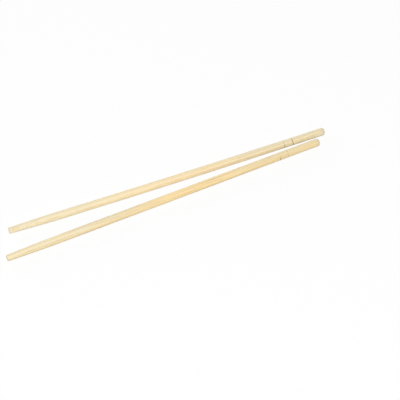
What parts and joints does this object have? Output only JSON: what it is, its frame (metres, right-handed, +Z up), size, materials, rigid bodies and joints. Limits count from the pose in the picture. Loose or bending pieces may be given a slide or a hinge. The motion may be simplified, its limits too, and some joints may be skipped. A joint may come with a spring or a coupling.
{
  "type": "bamboo chopsticks",
  "caption": "Round disposable bamboo chopsticks with tapered tips and ring-cut handles, lying loose side by side, for picking up food.",
  "frame": {"origin": "on the table, at the middle of the pair as it lies", "axes": "+X along the pair towards the butts, +Y towards the rear stick, +Z up"},
  "size_m": [0.218, 0.0232, 0.0049],
  "materials": {
    "bamboo": "sanded, uncoated bamboo"
  },
  "bodies": {
    "root": {"rear_chopstick": "bamboo", "front_chopstick": "bamboo"}
  },
  "joints": []
}
